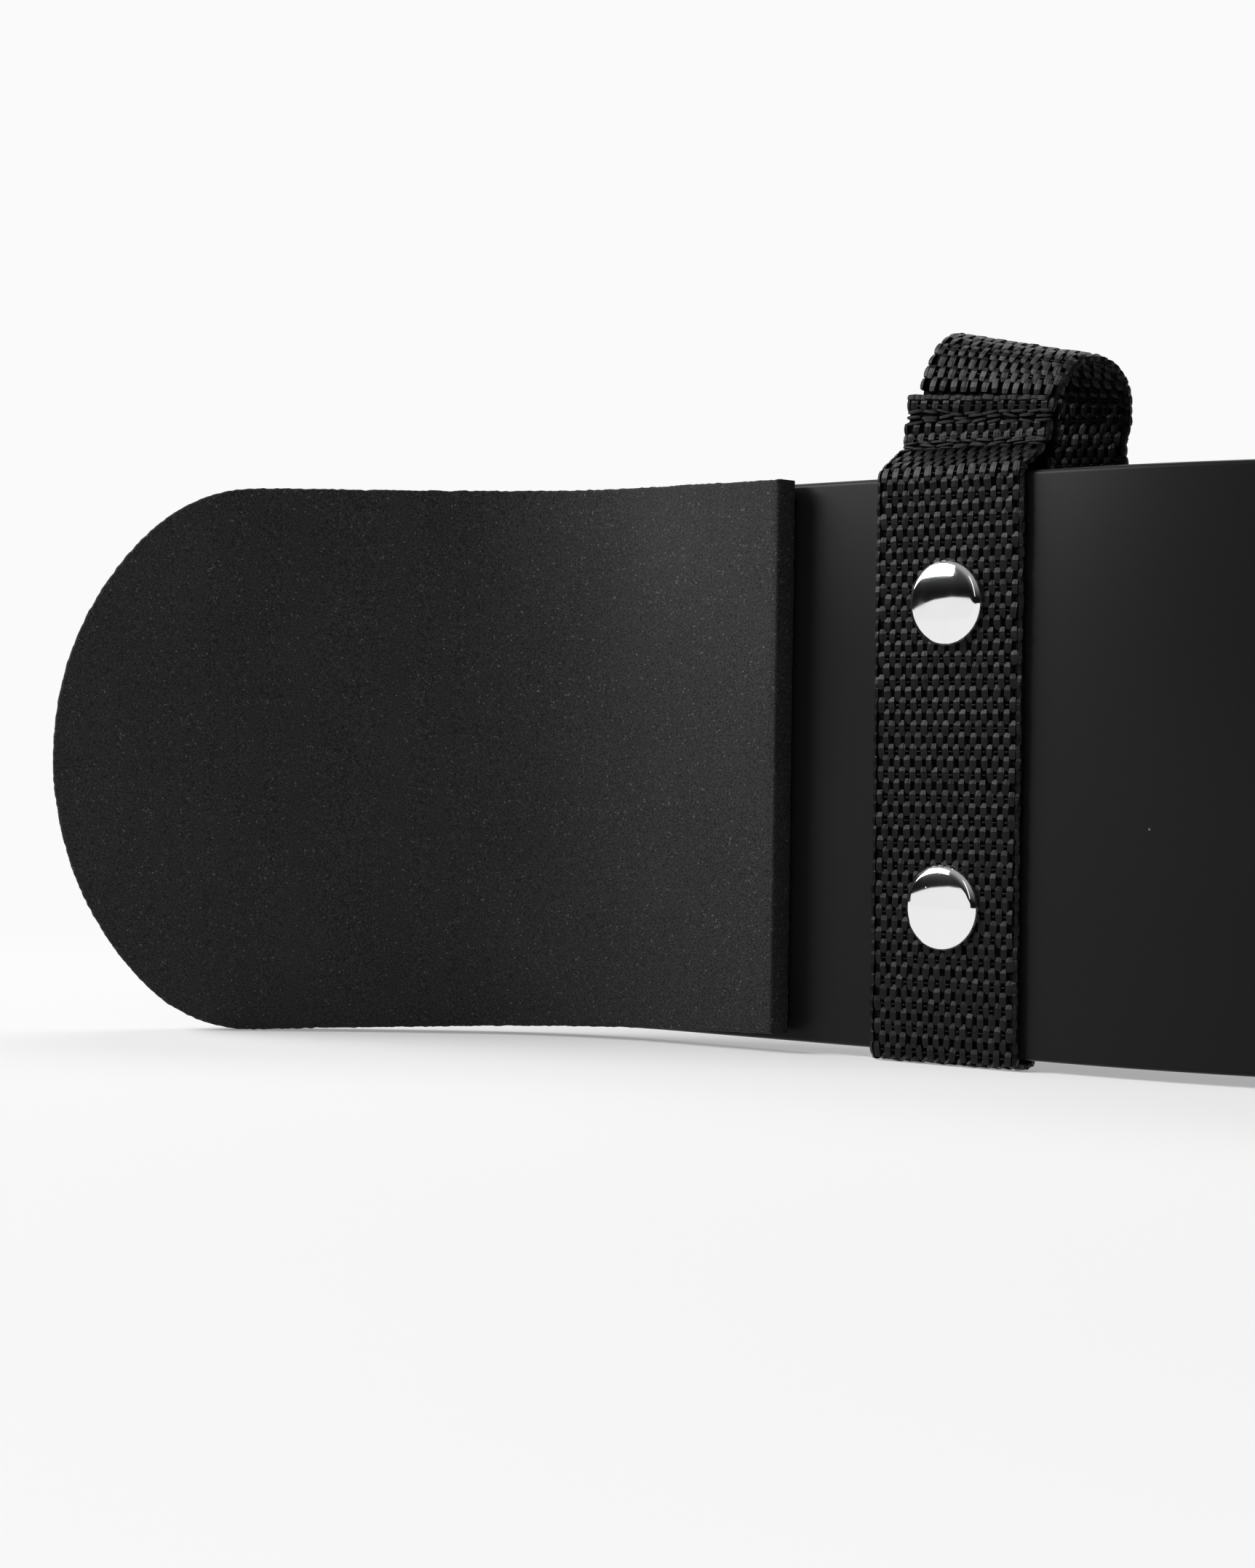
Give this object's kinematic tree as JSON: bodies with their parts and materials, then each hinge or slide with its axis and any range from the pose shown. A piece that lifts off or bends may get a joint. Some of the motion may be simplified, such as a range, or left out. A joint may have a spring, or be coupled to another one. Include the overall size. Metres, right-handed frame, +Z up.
{
  "type": "arm blaster",
  "caption": "Bent black plate with round foam-padded elbow cups at its ends, hung from a webbing neck strap by riveted slings; holds the upper arms still during curls.",
  "frame": {"origin": "middle of the footprint of plate, pads and slings, on the ground the part stands on; the free neck strap and its slider are left out", "axes": "+X along the plate towards its right end as the viewer sees it, -Y to the front, where the belly bulges and the pads face, +Z up"},
  "size_m": [0.5524, 0.4011, 0.129],
  "materials": {
    "plate_black": "satin black powder coat on aluminium sheet",
    "foam": "matte closed-cell foam with die-cut edges",
    "adhesive": "double-sided film",
    "webbing": "woven polypropylene webbing",
    "chrome": "bright nickel-chrome plated cap",
    "rivet_steel": "plated steel",
    "slider_plastic": "moulded black plastic"
  },
  "bodies": {
    "support": {"plate": "plate_black", "left_elbow_pad": "foam", "right_elbow_pad": "foam", "left_pad_adhesive": "adhesive", "right_pad_adhesive": "adhesive", "left_strap_sling": "webbing", "right_strap_sling": "webbing", "neck_strap": "webbing", "left_upper_front_cap": "chrome", "left_upper_post": "rivet_steel", "left_upper_socket": "rivet_steel", "left_upper_back_cap": "chrome", "left_lower_front_cap": "chrome", "left_lower_post": "rivet_steel", "left_lower_socket": "rivet_steel", "left_lower_back_cap": "chrome", "right_upper_front_cap": "chrome", "right_upper_post": "rivet_steel", "right_upper_socket": "rivet_steel", "right_upper_back_cap": "chrome", "right_lower_front_cap": "chrome", "right_lower_post": "rivet_steel", "right_lower_socket": "rivet_steel", "right_lower_back_cap": "chrome"},
    "slider": {"strap_slider": "slider_plastic"}
  },
  "joints": [
    {"name": "slider_slide", "type": "slide", "parent": "support", "child": "slider", "axis": [0, 1, 0], "range_m": [-0.03, 0.03]}
  ]
}
